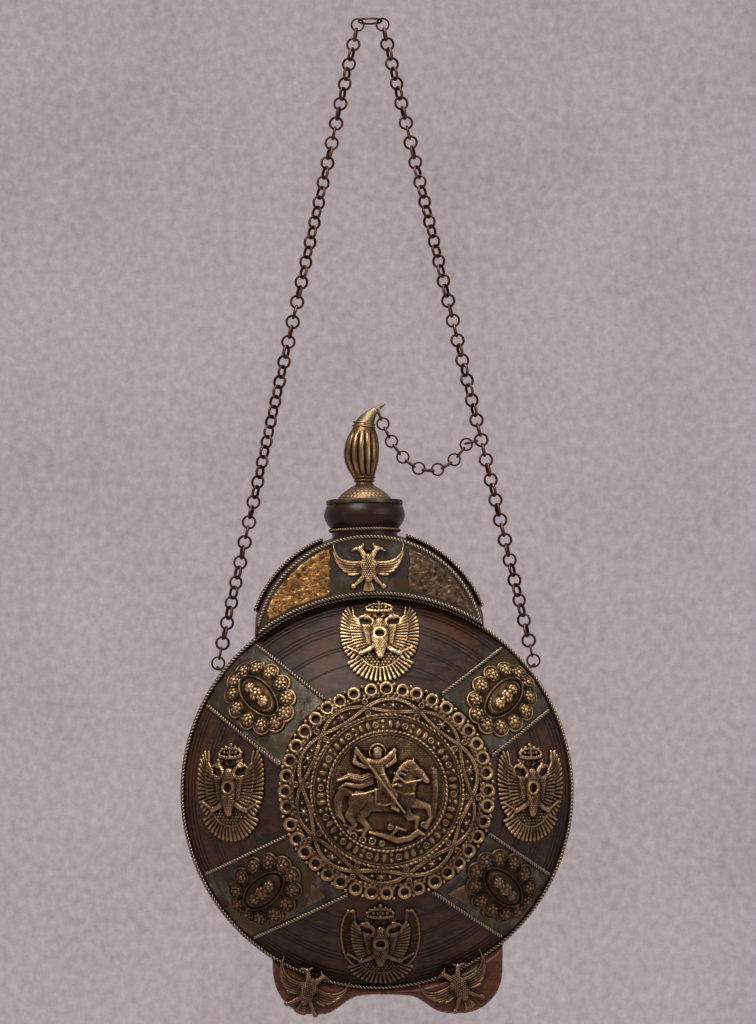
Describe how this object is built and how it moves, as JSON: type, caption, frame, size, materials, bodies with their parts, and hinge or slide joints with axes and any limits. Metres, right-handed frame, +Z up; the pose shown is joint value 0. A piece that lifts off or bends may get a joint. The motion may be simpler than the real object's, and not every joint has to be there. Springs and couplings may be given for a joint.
{
  "type": "pilgrim flask",
  "caption": "Round lens-shaped wooden flask with brass and pewter fittings, lift-out stopper on a ring tether, two feet and a ring chain to hang it by.",
  "frame": {"origin": "middle of the ring that the chain hangs by, where a hook would hold the flask", "axes": "+Z up along the hanging flask's height, -Y out of the flask's front face, +X to the right seen from the front"},
  "size_m": [0.1938, 0.105, 0.498],
  "materials": {
    "iron_chain": "dark, rubbed round wire",
    "dark_wood": "turned, dark stained and waxed",
    "collar_wood": "turned, nearly black",
    "foot_wood": "polished, reddish brown",
    "plug_cork": "plain tapered plug",
    "pewter": "dull grey sheet with tarnish",
    "twisted_wire": "twisted two-strand wire, darkened",
    "pale_brass": "cast and rubbed on the high places",
    "old_brass": "cast, darkened in the hollows",
    "gilt": "worn gilding on the fluted bulb",
    "horn_metal": "pale worn metal"
  },
  "bodies": {
    "hanging_ring": {"hanging_ring": "iron_chain"},
    "carrying_chain": {"chain_left": "iron_chain", "chain_right": "iron_chain", "tether_catch_ring": "iron_chain"},
    "flask": {"bowl_front": "dark_wood", "bowl_back": "dark_wood", "shoulder_yoke": "dark_wood", "neck_collar": "collar_wood", "foot_left": "foot_wood", "foot_right": "foot_wood", "rim_strip": "pewter", "rim_wire_front": "twisted_wire", "rim_wire_back": "twisted_wire", "shoulder_plate_front": "pewter", "shoulder_plate_back": "pewter", "shoulder_wires_front": "twisted_wire", "shoulder_wires_back": "twisted_wire", "shoulder_band_left": "pewter", "shoulder_band_right": "pewter", "neck_wire": "twisted_wire", "lug_left": "iron_chain", "lug_right": "iron_chain", "medallion_front": "old_brass", "medallion_back": "old_brass", "corner_plates_back": "pewter", "plate_wires_front": "twisted_wire", "plate_wires_back": "twisted_wire", "bosses_back": "old_brass", "eagles_back": "pale_brass", "shoulder_eagle_front": "pale_brass", "shoulder_eagle_back": "pale_brass", "foot_eagle_left": "pale_brass", "foot_eagle_right": "pale_brass", "foot_eagles_back": "pale_brass", "corner_plate_upper_left": "pewter", "boss_upper_left": "old_brass", "corner_plate_upper_right": "pewter", "boss_upper_right": "old_brass", "corner_plate_lower_left": "pewter", "boss_lower_left": "old_brass", "corner_plate_lower_right": "pewter", "boss_lower_right": "old_brass", "eagle_top": "pale_brass", "eagle_left": "pale_brass", "eagle_right": "pale_brass", "eagle_bottom": "pale_brass"},
    "stopper": {"stopper_plug": "plug_cork", "stopper_flange": "pewter", "stopper_dome": "old_brass", "stopper_grip": "gilt", "stopper_cap": "horn_metal", "stopper_spindle": "iron_chain"},
    "tether_eye_ring": {"tether_eye_ring": "iron_chain"},
    "tether_span_1": {"tether_span_1": "iron_chain"},
    "tether_span_2": {"tether_span_2": "iron_chain"},
    "tether_span_3": {"tether_span_3": "iron_chain"},
    "tether_span_4": {"tether_span_4": "iron_chain"}
  },
  "joints": [
    {"name": "chain_swing", "type": "hinge", "parent": "hanging_ring", "child": "carrying_chain", "pos_m": [0, 0, 0], "axis": [1, 0, 0], "range_deg": [-25, 25]},
    {"name": "flask_tilt", "type": "hinge", "parent": "carrying_chain", "child": "flask", "pos_m": [0, 0, -0.32534], "axis": [1, 0, 0], "range_deg": [-5, 5]},
    {"name": "stopper_lift", "type": "slide", "parent": "flask", "child": "stopper", "axis": [0, 0, 1], "range_m": [0, 0.0165]},
    {"name": "tether_eye_turn", "type": "hinge", "parent": "stopper", "child": "tether_eye_ring", "pos_m": [0.0019, 0, -0.19699], "axis": [0, 0, 1], "range_deg": [-12.8, 12.8]},
    {"name": "tether_fold_1", "type": "hinge", "parent": "tether_eye_ring", "child": "tether_span_1", "pos_m": [0.0037, 0, -0.20208], "axis": [0, 1, 0], "range_deg": [0, 5.2]},
    {"name": "tether_fold_2", "type": "hinge", "parent": "tether_span_1", "child": "tether_span_2", "pos_m": [0.01003, 0, -0.21532], "axis": [0, 1, 0], "range_deg": [0, 7.8]},
    {"name": "tether_fold_3", "type": "hinge", "parent": "tether_span_2", "child": "tether_span_3", "pos_m": [0.02003, 0, -0.22593], "axis": [0, 1, 0], "range_deg": [0, 10]},
    {"name": "tether_fold_4", "type": "hinge", "parent": "tether_span_3", "child": "tether_span_4", "pos_m": [0.03418, 0, -0.2269], "axis": [0, 1, 0], "range_deg": [0, 8.5]}
  ],
  "couplings": [
    {"joint": "tether_eye_turn", "follows": "flask_tilt", "ratio": 2.53},
    {"joint": "tether_fold_1", "follows": "stopper_lift", "rad_per_m": 5.3},
    {"joint": "tether_fold_2", "follows": "stopper_lift", "rad_per_m": 8.08},
    {"joint": "tether_fold_3", "follows": "stopper_lift", "rad_per_m": 10.47},
    {"joint": "tether_fold_4", "follows": "stopper_lift", "rad_per_m": 8.86}
  ]
}
